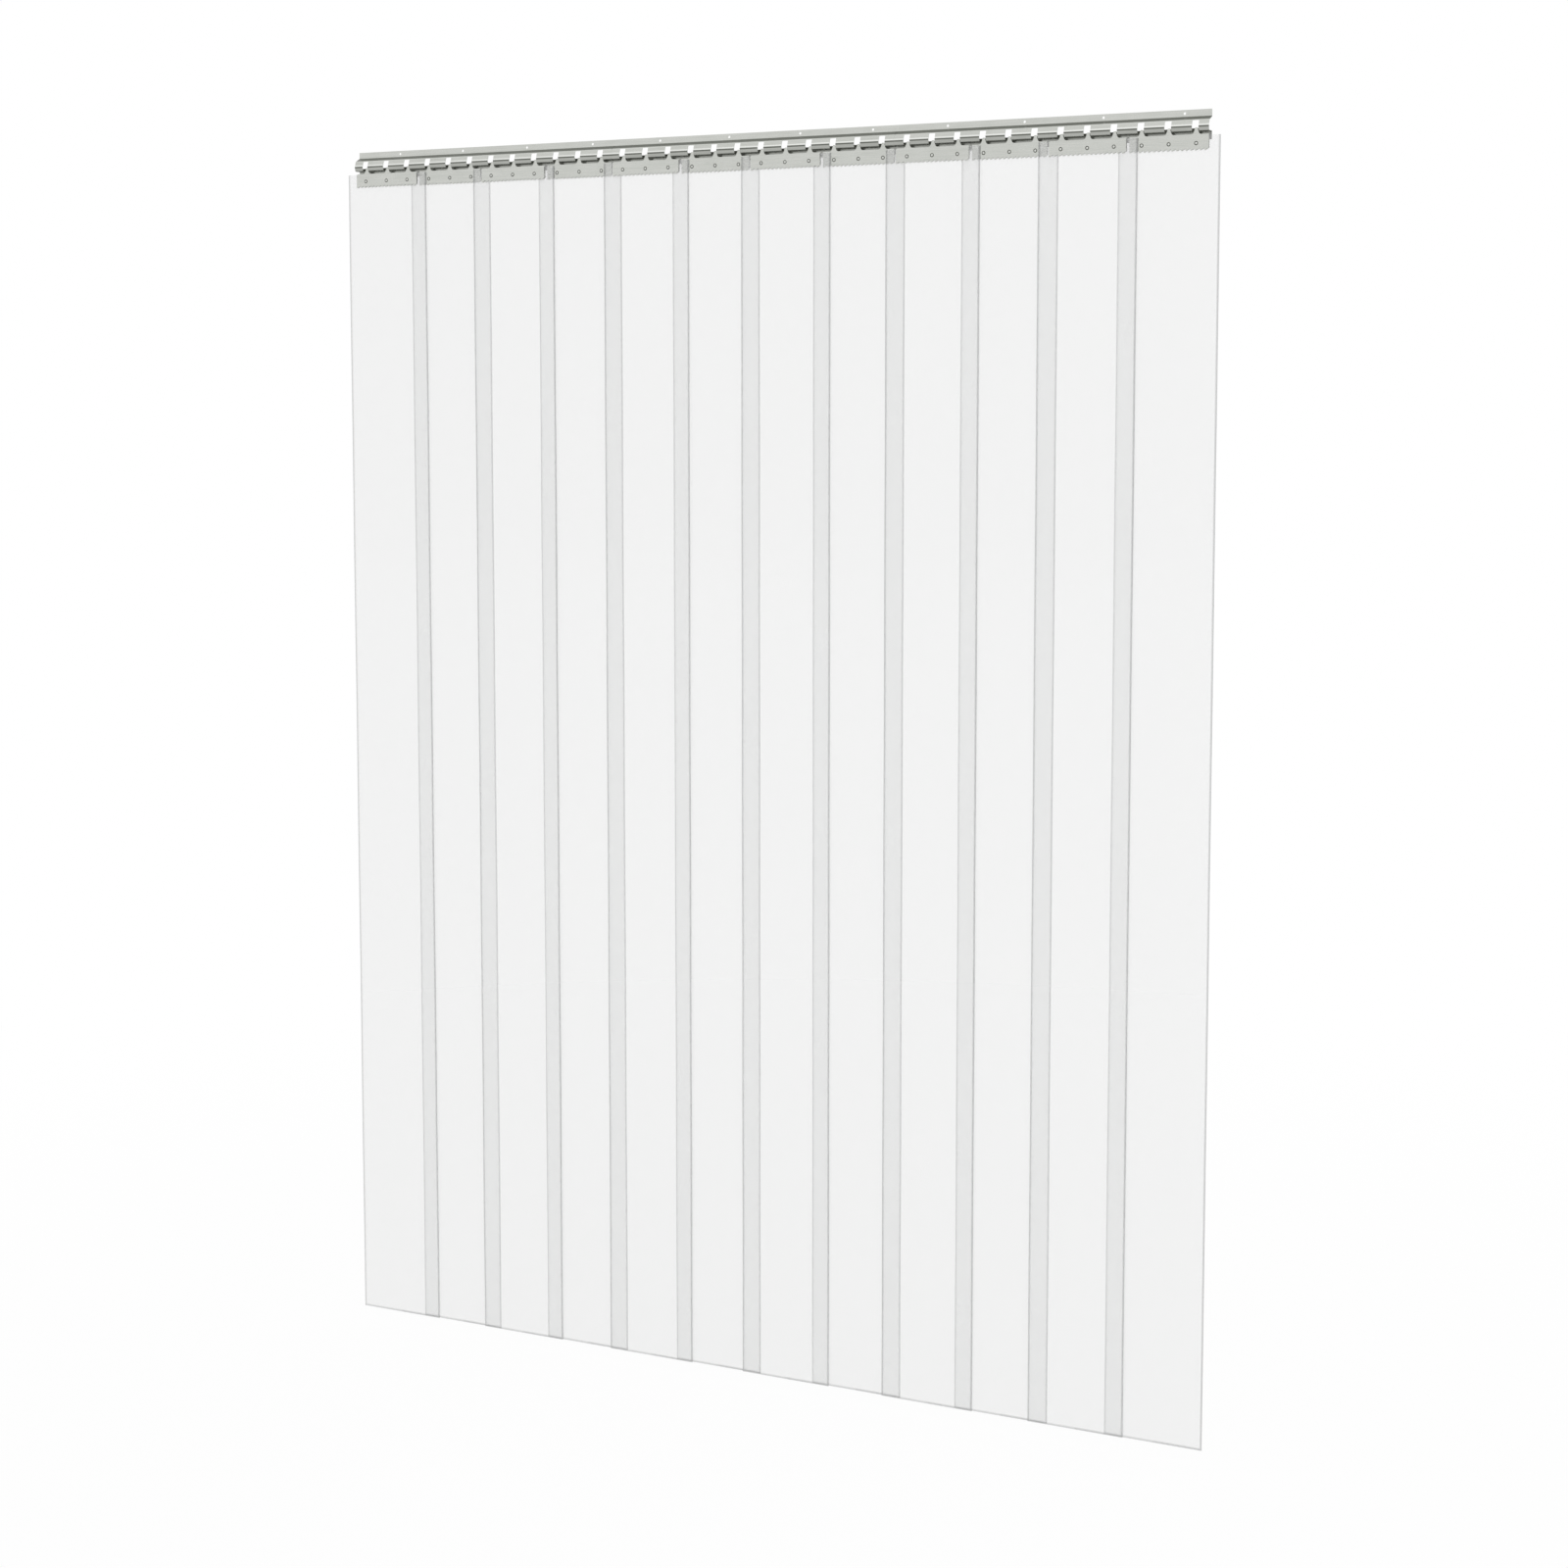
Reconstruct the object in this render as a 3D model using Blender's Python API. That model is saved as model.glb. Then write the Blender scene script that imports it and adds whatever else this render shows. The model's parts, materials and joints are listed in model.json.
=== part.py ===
"""PVC strip curtain on a stainless hook-on rail.

The rail is bent sheet in three sections. Each section has slots, and behind each slot a tab with a rolled edge. A clamp
plate with three claws hangs on three of those rolled edges, and a clear PVC strip is clamped between it and a cover
plate, which have holes for three rivets. The strips lie in two layers, in front of the claw plates and behind them,
so neighbours overlap.

Metres. The wall is the plane y = 0 and the curtain hangs in front of it, at negative y. The origin is on the wall
face of the rail's flange, at half the flange's height and half the curtain's width.
"""

import math

import bmesh
import bpy
from mathutils import Vector

# Curtain
STRIP_WIDTH = 0.200
STRIP_THICKNESS = 0.002
STRIP_LENGTH = 2.500
STRIP_EDGE = 0.0006
OVERLAP = 0.040
SECTION_COUNT = 3
PLATES_PER_SECTION = 4
HOOKS_PER_PLATE = 3

# Rail sheet, seen from its end: flange, shelf, web, barrel, lip and foot. Drops and depths run to the corners of
# the bends, before they are rounded.
RAIL_SHEET = 0.0015
FLANGE_HEIGHT = 0.0130
SHELF_DROP = 0.0075
SHELF_DEPTH = 0.0150
WEB_DROP = 0.0117
RAIL_DEPTH = 0.0195
BARREL_HEIGHT = 0.0090
BARREL_SETBACK = 0.0020
FOOT_HEIGHT = 0.0145
CREASE_RADIUS = 0.0020
SHELF_RADIUS = 0.0030
RIDGE_RADIUS = 0.0016
LIP_RADIUS = 0.0030
SECTION_JOINT = 0.0006
SCREW_HOLE = 0.0050

# Slots in the rail, and the tab with a rolled edge behind each, which reaches past its slot on both sides
SLOT_WIDTH = 0.0133
SLOT_SETBACK = 0.0004
TAB_LAP = 0.0070
ROLL_RADIUS = 0.0016
AXIS_TO_WALL = 0.0090
AXIS_ABOVE_LIP = 0.0030

# Clamp plates
PLATE_SHEET = 0.0012
PLATE_HEIGHT = 0.0300
PLATE_GAP = 0.0050
PLATE_DROP = 0.0094
COVER_SETBACK = 0.0015
STRIP_SETBACK = 0.0020
TOOTH_PITCH = 0.0093
TOOTH_DEPTH = 0.0045
TOOTH_FLAT = 0.0012

# Claws, drawn out of the plate and curled over the rolled edge
CLAW_BASE = 0.0180
CLAW_NECK = 0.0120
CLAW_TIP = 0.0060
CLAW_FLARE = 0.0016
CLAW_RETURN = 0.0010

# Rivet holes through both plates and the strip
RIVET_SHANK = 0.0040
RIVET_DROP = 0.0165

# Clearance between pieces that touch, how far a cutter runs past what it cuts, and how finely round forms are cut
CLEARANCE = 0.0003
OVERRUN = 0.0060
HOLE_SIDES = 8
OPEN_BEND_STEPS = 1
CLOSE_BEND_STEPS = 2
ROLL_STEPS = 6
CURL_STEPS = 4

# Where a strip lies: in front of its claw plate or behind it
FRONT = -1
BACK = 1

# Places that follow from the sizes above
PITCH = STRIP_WIDTH - OVERLAP
HOOK_PITCH = PITCH / HOOKS_PER_PLATE
STRIP_COUNT = SECTION_COUNT * PLATES_PER_SECTION
SECTION_PITCH = PLATES_PER_SECTION * PITCH
SECTION_LENGTH = SECTION_PITCH - SECTION_JOINT
PLATE_LENGTH = PITCH - PLATE_GAP

HALF_SHEET = RAIL_SHEET / 2
RAIL_TOP = FLANGE_HEIGHT / 2
CREASE_Z = RAIL_TOP - FLANGE_HEIGHT
SHELF_Z = CREASE_Z - SHELF_DROP
RIDGE_Z = SHELF_Z - WEB_DROP
BARREL_BOTTOM = RIDGE_Z - BARREL_HEIGHT
LIP_TOP = BARREL_BOTTOM + RAIL_SHEET
FOOT_BOTTOM = BARREL_BOTTOM - FOOT_HEIGHT

AXIS_Y = -AXIS_TO_WALL
AXIS_Z = LIP_TOP + AXIS_ABOVE_LIP
CURL_RADIUS = ROLL_RADIUS + CLEARANCE + PLATE_SHEET / 2

CLAW_PLATE_Y = AXIS_Y - CURL_RADIUS
PLATE_TOP = AXIS_Z - PLATE_DROP
COVER_TOP = PLATE_TOP - COVER_SETBACK
PLATE_BOTTOM = PLATE_TOP - PLATE_HEIGHT
STRIP_TOP = PLATE_TOP - STRIP_SETBACK
RIVET_Z = PLATE_TOP - RIVET_DROP
STRIP_OFFSET = PLATE_SHEET / 2 + CLEARANCE + STRIP_THICKNESS / 2
COVER_OFFSET = 2 * STRIP_OFFSET
HOLE_RADIUS = (RIVET_SHANK / 2 + CLEARANCE) / math.cos(math.pi / HOLE_SIDES)


def clear_scene():
    for obj in list(bpy.data.objects):
        bpy.data.objects.remove(obj, do_unlink=True)


def new_object(name, mesh):
    obj = bpy.data.objects.new(name, mesh)
    bpy.context.scene.collection.objects.link(obj)
    return obj


def principled(name, colour, roughness, metallic, alpha=1.0):
    material = bpy.data.materials.new(name)
    material.use_nodes = True
    shader = material.node_tree.nodes["Principled BSDF"]
    shader.inputs["Base Color"].default_value = (*colour, 1.0)
    shader.inputs["Roughness"].default_value = roughness
    shader.inputs["Metallic"].default_value = metallic
    shader.inputs["Alpha"].default_value = alpha
    return material


def mesh_of(name, bm):
    mesh = bpy.data.meshes.new(name)
    bm.to_mesh(mesh)
    bm.free()
    return mesh


def rounded(path, bends):
    """The path with each inner corner replaced by an arc. A bend is its (radius, steps)."""
    points = [Vector(path[0])]
    for before, corner, after, (radius, steps) in zip(path, path[1:], path[2:], bends):
        corner = Vector(corner)
        back = (Vector(before) - corner).normalized()
        ahead = (Vector(after) - corner).normalized()
        half = back.angle(ahead) / 2
        centre = corner + (back + ahead).normalized() * radius / math.sin(half)
        start = corner + back * radius / math.tan(half) - centre
        end = corner + ahead * radius / math.tan(half) - centre
        turn = start.angle_signed(end)
        for step in range(steps + 1):
            angle = -turn * step / steps
            cos, sin = math.cos(angle), math.sin(angle)
            arm = Vector((start.x * cos - start.y * sin, start.x * sin + start.y * cos))
            points.append(centre + arm)
    points.append(Vector(path[-1]))
    return points


def prism(bm, outline, low_x, high_x):
    """Adds a closed body with a (y, z) outline between two places along X."""
    rings = [[bm.verts.new((x, y, z)) for y, z in outline] for x in (low_x, high_x)]
    bm.faces.new(rings[0])
    bm.faces.new(reversed(rings[1]))
    for k in range(len(outline)):
        bm.faces.new((rings[0][k - 1], rings[1][k - 1], rings[1][k], rings[0][k]))


def turned(bm, profile, x, z, sides):
    """Adds a closed body turned about a line along Y. The profile's points are (radius, y)."""
    rings = []
    for radius, y in profile:
        ring = []
        for k in range(sides):
            angle = 2 * math.pi * (k + 0.5) / sides
            ring.append(bm.verts.new((x + radius * math.cos(angle), y, z + radius * math.sin(angle))))
        rings.append(ring)
    for ring, following in zip(rings, rings[1:]):
        for k in range(sides):
            bm.faces.new((ring[k - 1], ring[k], following[k], following[k - 1]))
    bm.faces.new(rings[0])
    bm.faces.new(reversed(rings[-1]))


def helper(name, bm):
    """A cutter or a piece to be fused: left out of renders and drawn as wire."""
    bmesh.ops.recalc_face_normals(bm, faces=bm.faces[:])
    obj = new_object(name, mesh_of(name, bm))
    obj.hide_render = True
    obj.display_type = "WIRE"
    return obj


def boolean(obj, other, operation):
    modifier = obj.modifiers.new(other.name, "BOOLEAN")
    modifier.operation = operation
    modifier.object = other


def solidify(obj, thickness):
    modifier = obj.modifiers.new("Sheet", "SOLIDIFY")
    modifier.thickness = thickness
    modifier.offset = 0.0
    modifier.use_even_offset = True


def applied(obj, material, helpers=()):
    """The mesh of the object with its modifiers applied. The object and its helpers go."""
    bpy.context.view_layer.update()
    graph = bpy.context.evaluated_depsgraph_get()
    mesh = bpy.data.meshes.new_from_object(obj.evaluated_get(graph))
    mesh.name = obj.name
    mesh.materials.clear()
    mesh.materials.append(material)
    mesh.shade_smooth()
    mesh.set_sharp_from_angle(angle=math.radians(30))
    for used in (obj, *helpers):
        bpy.data.objects.remove(used, do_unlink=True)
    return mesh


def centred(count, pitch):
    return [(k - (count - 1) / 2) * pitch for k in range(count)]


def rail_path():
    """Middle of the rail's sheet as (y, z), from the flange's top edge to the foot's."""
    wall_y = -HALF_SHEET
    front_y = HALF_SHEET - RAIL_DEPTH
    lip_z = BARREL_BOTTOM + HALF_SHEET
    corners = [
        (wall_y, RAIL_TOP),
        (wall_y, CREASE_Z),
        (-SHELF_DEPTH, SHELF_Z),
        (front_y, RIDGE_Z),
        (front_y + BARREL_SETBACK, lip_z),
        (wall_y, lip_z),
        (wall_y, FOOT_BOTTOM),
    ]
    bends = [
        (CREASE_RADIUS, OPEN_BEND_STEPS),
        (SHELF_RADIUS, OPEN_BEND_STEPS),
        (RIDGE_RADIUS, OPEN_BEND_STEPS),
        (LIP_RADIUS, CLOSE_BEND_STEPS),
        (CREASE_RADIUS, OPEN_BEND_STEPS),
    ]
    return rounded(corners, bends)


def slot_outline():
    """What a slot takes out of the sheet: web, barrel, and lip as far as the tab."""
    front = -RAIL_DEPTH - OVERRUN
    top = SHELF_Z - SLOT_SETBACK
    return [
        (front, top),
        (-HALF_SHEET, top),
        (-HALF_SHEET, AXIS_Z),
        (AXIS_Y, AXIS_Z),
        (AXIS_Y, BARREL_BOTTOM - OVERRUN),
        (front, BARREL_BOTTOM - OVERRUN),
    ]


def tab_outline():
    """A tab that stands up from the lip and ends in a rolled edge round the hinge axis."""
    opening = math.asin(HALF_SHEET / ROLL_RADIUS)
    sweep = 2 * math.pi - 2 * opening
    foot_z = LIP_TOP - HALF_SHEET
    outline = [(AXIS_Y - HALF_SHEET, foot_z)]
    for step in range(ROLL_STEPS + 1):
        angle = -math.pi / 2 - opening - sweep * step / ROLL_STEPS
        outline.append((AXIS_Y + ROLL_RADIUS * math.cos(angle), AXIS_Z + ROLL_RADIUS * math.sin(angle)))
    outline.append((AXIS_Y + HALF_SHEET, foot_z))
    return outline


def rail_mesh(material):
    half = SECTION_LENGTH / 2
    bm = bmesh.new()
    rows = [[bm.verts.new((x, y, z)) for y, z in rail_path()] for x in (-half, half)]
    for k in range(1, len(rows[0])):
        bm.faces.new((rows[0][k - 1], rows[1][k - 1], rows[1][k], rows[0][k]))
    rail = new_object("rail", mesh_of("rail", bm))
    solidify(rail, RAIL_SHEET)

    slots, tabs, holes = bmesh.new(), bmesh.new(), bmesh.new()
    half_slot = SLOT_WIDTH / 2
    half_tab = half_slot + TAB_LAP
    for x in centred(PLATES_PER_SECTION * HOOKS_PER_PLATE, HOOK_PITCH):
        prism(slots, slot_outline(), x - half_slot, x + half_slot)
        prism(tabs, tab_outline(), x - half_tab, x + half_tab)
    for x in centred(PLATES_PER_SECTION, PITCH):
        drill = [(SCREW_HOLE / 2, -OVERRUN), (SCREW_HOLE / 2, OVERRUN)]
        turned(holes, drill, x + HOOK_PITCH / 2, 0.0, HOLE_SIDES)
    helpers = [helper("slots", slots), helper("tabs", tabs), helper("screw_holes", holes)]
    boolean(rail, helpers[0], "DIFFERENCE")
    boolean(rail, helpers[1], "UNION")
    boolean(rail, helpers[2], "DIFFERENCE")
    return applied(rail, material, helpers)


def plate_outline(top_z, claw_feet=()):
    """A plate seen from the front, as (x, z): a straight top edge and saw teeth along the bottom."""
    half = PLATE_LENGTH / 2
    outline = [(-half, top_z)]
    outline += [(x, top_z) for x in claw_feet]
    outline.append((half, top_z))
    count = round(PLATE_LENGTH / TOOTH_PITCH)
    pitch = PLATE_LENGTH / count
    for k in range(count):
        right = half - k * pitch
        outline.append((right, PLATE_BOTTOM + TOOTH_DEPTH))
        outline.append((right - pitch + TOOTH_FLAT, PLATE_BOTTOM))
    outline.append((-half, PLATE_BOTTOM))
    return outline


def claw_path():
    """Middle of a claw's sheet as (y, z, width), from the plate's top edge up and over the rolled edge."""
    neck_z = PLATE_TOP + CLAW_FLARE
    path = [(CLAW_PLATE_Y, neck_z, CLAW_NECK), (CLAW_PLATE_Y, AXIS_Z, CLAW_TIP)]
    for step in range(1, CURL_STEPS + 1):
        angle = math.pi - math.pi * step / CURL_STEPS
        path.append((AXIS_Y + CURL_RADIUS * math.cos(angle), AXIS_Z + CURL_RADIUS * math.sin(angle), CLAW_TIP))
    path.append((AXIS_Y + CURL_RADIUS, AXIS_Z - CLAW_RETURN, CLAW_TIP))
    return path


def rivet_places():
    return centred(HOOKS_PER_PLATE, HOOK_PITCH)


def rivet_holes(name):
    bm = bmesh.new()
    reach = COVER_OFFSET + OVERRUN
    for x in rivet_places():
        profile = [(HOLE_RADIUS, CLAW_PLATE_Y - reach), (HOLE_RADIUS, CLAW_PLATE_Y + reach)]
        turned(bm, profile, x, RIVET_Z, HOLE_SIDES)
    return helper(name, bm)


def claw_plate_mesh(material):
    """A plate with its claws, flat from the saw teeth up to the claws' necks."""
    feet = [x + side * CLAW_BASE / 2 for x in rivet_places() for side in (-1, 1)]
    bm = bmesh.new()
    corners = [bm.verts.new((x, CLAW_PLATE_Y, z)) for x, z in plate_outline(PLATE_TOP, feet)]
    bm.faces.new(corners)
    for number, x in enumerate(rivet_places()):
        left, right = corners[1 + 2 * number], corners[2 + 2 * number]
        for y, z, width in claw_path():
            row = [bm.verts.new((x + side * width / 2, y, z)) for side in (-1, 1)]
            bm.faces.new((left, right, row[1], row[0]))
            left, right = row
    bmesh.ops.recalc_face_normals(bm, faces=bm.faces[:])
    plate = new_object("claw_plate", mesh_of("claw_plate", bm))
    solidify(plate, PLATE_SHEET)
    holes = rivet_holes("claw_plate_holes")
    boolean(plate, holes, "DIFFERENCE")
    return applied(plate, material, [holes])


def cover_plate_mesh(material):
    bm = bmesh.new()
    bm.faces.new([bm.verts.new((x, CLAW_PLATE_Y, z)) for x, z in plate_outline(COVER_TOP)])
    plate = new_object("cover_plate", mesh_of("cover_plate", bm))
    solidify(plate, PLATE_SHEET)
    holes = rivet_holes("cover_holes")
    boolean(plate, holes, "DIFFERENCE")
    return applied(plate, material, [holes])


def strip_mesh(material):
    """A strip in the claw plates' plane, with eased edges and its three rivet holes."""
    half, thick = STRIP_WIDTH / 2, STRIP_THICKNESS / 2
    ease = STRIP_EDGE
    section = [
        (-half, ease - thick),
        (ease - half, -thick),
        (half - ease, -thick),
        (half, ease - thick),
        (half, thick - ease),
        (half - ease, thick),
        (ease - half, thick),
        (-half, thick - ease),
    ]
    bm = bmesh.new()
    base = bm.faces.new([bm.verts.new((x, CLAW_PLATE_Y + y, STRIP_TOP)) for x, y in section])
    raised = bmesh.ops.extrude_face_region(bm, geom=[base])
    lower = [item for item in raised["geom"] if isinstance(item, bmesh.types.BMVert)]
    bmesh.ops.translate(bm, verts=lower, vec=(0.0, 0.0, -STRIP_LENGTH))
    bmesh.ops.recalc_face_normals(bm, faces=bm.faces[:])
    strip = new_object("strip", mesh_of("strip", bm))
    holes = rivet_holes("strip_holes")
    boolean(strip, holes, "DIFFERENCE")
    return applied(strip, material, [holes])


def place(name, mesh, parent, offset):
    """An object of this mesh, drawn in the curtain's frame, moved by the offset and carried by the parent."""
    obj = new_object(name, mesh)
    obj.parent = parent
    obj.location = Vector(offset) - parent.location
    return obj


def empty(name, location, parent=None):
    obj = new_object(name, None)
    obj.location = location
    obj.parent = parent
    return obj


def build_rail(curtain):
    steel = principled("rail_steel", (0.62, 0.63, 0.60), 0.28, 1.0)
    mesh = rail_mesh(steel)
    for number, x in enumerate(centred(SECTION_COUNT, SECTION_PITCH), 1):
        place(f"rail_section_{number}", mesh, curtain, (x, 0.0, 0.0))


def build_hangers(curtain):
    """Strips with their plates, in turn in front of the claw plates and behind them."""
    claw_steel = principled("claw_plate_steel", (0.60, 0.61, 0.58), 0.30, 1.0)
    cover_steel = principled("cover_plate_steel", (0.62, 0.63, 0.60), 0.30, 1.0)
    clear_pvc = principled("clear_pvc", (0.94, 0.95, 0.95), 0.12, 0.0, 0.25)
    claw_plate = claw_plate_mesh(claw_steel)
    cover_plate = cover_plate_mesh(cover_steel)
    strip = strip_mesh(clear_pvc)
    for index, x in enumerate(centred(STRIP_COUNT, PITCH)):
        number = index + 1
        layer = FRONT if index % 2 == 0 else BACK
        hanger = empty(f"hanger_{number:02d}", (x, AXIS_Y, AXIS_Z), curtain)
        place(f"claw_plate_{number:02d}", claw_plate, hanger, (x, 0.0, 0.0))
        place(f"strip_{number:02d}", strip, hanger, (x, layer * STRIP_OFFSET, 0.0))
        place(f"cover_plate_{number:02d}", cover_plate, hanger, (x, layer * COVER_OFFSET, 0.0))


def main():
    clear_scene()
    curtain = empty("curtain", (0.0, 0.0, 0.0))
    build_rail(curtain)
    build_hangers(curtain)


main()
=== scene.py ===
"""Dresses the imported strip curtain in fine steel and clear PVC, in a white studio."""

import json
import math

import bmesh
import bpy
from bpy.props import FloatProperty, FloatVectorProperty, IntProperty, PointerProperty
from mathutils import Matrix, Vector

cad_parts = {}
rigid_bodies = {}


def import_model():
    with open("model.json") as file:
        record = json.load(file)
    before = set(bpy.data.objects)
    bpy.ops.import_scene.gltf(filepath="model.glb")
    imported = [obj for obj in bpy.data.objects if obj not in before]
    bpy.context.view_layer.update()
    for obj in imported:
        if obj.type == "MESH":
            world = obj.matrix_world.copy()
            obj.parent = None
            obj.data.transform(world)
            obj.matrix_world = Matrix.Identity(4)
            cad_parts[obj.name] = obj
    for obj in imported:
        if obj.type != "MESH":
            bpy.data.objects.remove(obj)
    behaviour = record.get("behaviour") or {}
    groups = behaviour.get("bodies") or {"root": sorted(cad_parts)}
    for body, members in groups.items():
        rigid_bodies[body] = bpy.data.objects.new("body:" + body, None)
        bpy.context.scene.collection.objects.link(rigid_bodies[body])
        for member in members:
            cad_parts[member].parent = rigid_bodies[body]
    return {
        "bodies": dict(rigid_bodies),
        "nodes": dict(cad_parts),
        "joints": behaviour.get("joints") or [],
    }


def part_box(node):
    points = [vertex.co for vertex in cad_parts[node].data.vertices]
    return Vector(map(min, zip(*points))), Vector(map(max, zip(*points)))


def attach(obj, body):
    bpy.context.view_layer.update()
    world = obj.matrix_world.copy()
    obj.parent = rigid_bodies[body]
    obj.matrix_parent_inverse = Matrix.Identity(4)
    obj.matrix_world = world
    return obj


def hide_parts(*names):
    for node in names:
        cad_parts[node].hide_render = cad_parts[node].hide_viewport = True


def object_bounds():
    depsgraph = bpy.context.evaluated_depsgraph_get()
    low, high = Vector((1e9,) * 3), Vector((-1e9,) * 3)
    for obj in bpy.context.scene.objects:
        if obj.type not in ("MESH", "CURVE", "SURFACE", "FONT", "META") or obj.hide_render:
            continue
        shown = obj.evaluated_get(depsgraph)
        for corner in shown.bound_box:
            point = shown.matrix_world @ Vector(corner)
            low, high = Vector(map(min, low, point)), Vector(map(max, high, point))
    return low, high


bl_info = {
    "name": "PVC strip curtain",
    "version": (1, 0, 0),
    "blender": (4, 5, 0),
    "location": "View3D > Sidebar > Curtain",
    "description": "Builds a clear PVC strip curtain on its hook-on rail",
    "category": "Object",
}

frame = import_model()
CAD_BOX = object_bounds()

HANGERS = [name[-2:] for name in sorted(frame["bodies"]) if name.startswith("hanger_")]
SECTIONS = sorted(name for name in frame["nodes"] if name.startswith("rail_section_"))
SECTION_LOW, SECTION_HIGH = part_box(SECTIONS[0])
STRIP_LOW, STRIP_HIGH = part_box("strip_01")
AXIS_Y, AXIS_Z = frame["joints"][0]["pos_m"][1:]

# The layout of a strip before it was hung: metres across from its middle, and metres down.
FLAT_LAYOUT = "strip_flat"

# Brush marks are long along X and fine across it.
BRUSH_STRETCH = (14.0, 900.0, 900.0)

# Materials of the rail's faces, by number. The inner faces and the tabs' fronts take painted shade.
OUTER, INNER, TAB_FRONT = 0, 1, 2

# An edge sharper than this is broken, and one sharper than SHARP_ANGLE is shaded as an edge.
BREAK_ANGLE = math.radians(50)
SHARP_ANGLE = math.radians(40)

# Steps of a claw's flare, neck and curl, of a rolled edge, and of a rivet's dome.
FLARE_STEPS, NECK_STEPS, CURL_STEPS, ROLL_STEPS, DOME_STEPS = 6, 8, 14, 20, 7

# How fast a claw narrows over its flare and its neck: 1 is evenly, and more is mostly at first.
FLARE_POWER, NECK_POWER = 1.6, 1.25

# A strip's columns of points: metres in from each edge, and even spaces between the inner two.
EDGE_COLUMNS = (0.0045, 0.0120)
MIDDLE_SPACES = 8

# A strip's rounded edge: steps from its middle to a face, and its reach as a share of its height.
EDGE_STEPS = 4
EDGE_REACH_SHARE = 0.8

# Radians of ripple from one strip to the next, and a strip's bow from edge to edge beside it.
RIPPLE_TURN = 2.4
BOW_TURN_SHARE = 1.7
BOW_SHARE = 0.6

# Name, place, side in metres and watts.
LAMPS = (
    ("key", (2.2, -3.6, 4.6), 4.5, 44.0),
    ("fill", (4.6, -3.2, 1.2), 4.0, 24.0),
    ("rear", (0.6, 4.6, 2.2), 4.5, 30.0),
)

WHITE = (1.0, 1.0, 1.0, 1.0)


def size(name, description, default):
    """A length in metres that a user can change."""
    return FloatProperty(
        name=name, description=description, default=default,
        unit="LENGTH", subtype="DISTANCE", precision=4,
    )


def angle(name, description, degrees):
    """An angle that a user can change."""
    default = math.radians(degrees)
    return FloatProperty(name=name, description=description, default=default, subtype="ANGLE")


def share(name, description, default):
    """A share of one that a user can change."""
    return FloatProperty(name=name, description=description, default=default, min=0.0, max=1.0)


def colour(name, description, default):
    """A colour that a user can change."""
    return FloatVectorProperty(
        name=name, description=description, default=default,
        size=3, subtype="COLOR", min=0.0, max=1.0,
    )


class RailSettings(bpy.types.PropertyGroup):
    """Sizes of the rail's bent sheet."""

    sheet: size("Sheet", "Thickness of the rail's sheet", 0.0015)
    flange: size("Flange", "Height of the flange that lies on the wall", 0.0130)
    shelf_drop: size("Shelf drop", "How far the shelf below the flange comes down", 0.0075)
    shelf_depth: size("Shelf depth", "How far the shelf stands out from the wall", 0.0150)
    web_drop: size("Web drop", "Height of the web below the shelf", 0.0117)
    depth: size("Depth", "From the wall to the ridge's corner", 0.0195)
    barrel: size("Barrel", "Height of the barrel below the ridge", 0.0090)
    barrel_setback: size("Barrel setback", "From the ridge back to the barrel's bottom", 0.0020)
    foot: size("Foot", "Height of the foot below the lip", 0.0145)
    crease_radius: size("Crease radius", "Radius of the inner bends", 0.0020)
    shelf_radius: size("Shelf radius", "Radius of the bend between shelf and web", 0.0030)
    ridge_radius: size("Ridge radius", "Radius of the bend between web and barrel", 0.0016)
    lip_radius: size("Lip radius", "Radius of the bend between barrel and lip", 0.0030)
    slot_width: size("Slot width", "Width of each hook slot", 0.0133)
    slot_setback: size("Slot setback", "From the shelf's corner down to the slot's top", 0.0004)
    slot_corner: size("Slot corner", "Corner radius of the slots", 0.0012)
    tab_lap: size("Tab lap", "How far a tab reaches past its slot on each side", 0.0070)
    roll_radius: size("Roll radius", "Radius of the rolled edge on each tab", 0.0016)
    screw_hole: size("Screw hole", "Diameter of the screw holes", 0.0050)
    edge: size("Edge", "Break on the sheared edges", 0.00018)


class PlateSettings(bpy.types.PropertyGroup):
    """Sizes of the clamp plates, their claws and rivets."""

    sheet: size("Sheet", "Thickness of the plates", 0.0012)
    gap: size("Gap", "Gap between one plate and the next", 0.0050)
    height: size("Height", "Height of a plate without its claws", 0.0300)
    drop: size("Drop", "From the hinge axis down to the plate's top edge", 0.0094)
    tooth_pitch: size("Tooth pitch", "Distance between saw teeth", 0.0093)
    tooth_depth: size("Tooth depth", "Depth of the saw teeth", 0.0045)
    tooth_flat: size("Tooth flat", "Width of a tooth's tip", 0.0012)
    claw_base: size("Claw base", "Width of a claw where it leaves the plate", 0.0180)
    claw_neck: size("Claw neck", "Width of a claw above its flare", 0.0120)
    claw_tip: size("Claw tip", "Width of a claw where it curls", 0.0060)
    claw_flare: size("Claw flare", "Height of a claw's flare", 0.0016)
    claw_return: size("Claw return", "Length of the claw behind the rolled edge", 0.0010)
    claw_narrowing: size("Claw narrowing", "How much narrower a claw is at its end", 0.0012)
    clearance: size("Clearance", "Gap between a rivet and its hole", 0.0003)
    rivet_shank: size("Rivet shank", "Diameter of a rivet's shank", 0.0040)
    rivet_head: size("Rivet head", "Diameter of a rivet's head", 0.0080)
    rivet_dome: size("Rivet dome", "Height of a rivet's head", 0.0015)
    rivet_tail: size("Rivet tail", "Diameter of a rivet's tail", 0.0060)
    rivet_tail_height: size("Rivet tail height", "Height of a rivet's tail", 0.0006)
    rivet_drop: size("Rivet drop", "From the plate's top edge down to the rivets", 0.0165)
    edge: size("Edge", "Break on the stamped edges", 0.00014)
    claws: IntProperty(name="Claws", description="Claws on a plate", default=3, min=1)


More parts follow.
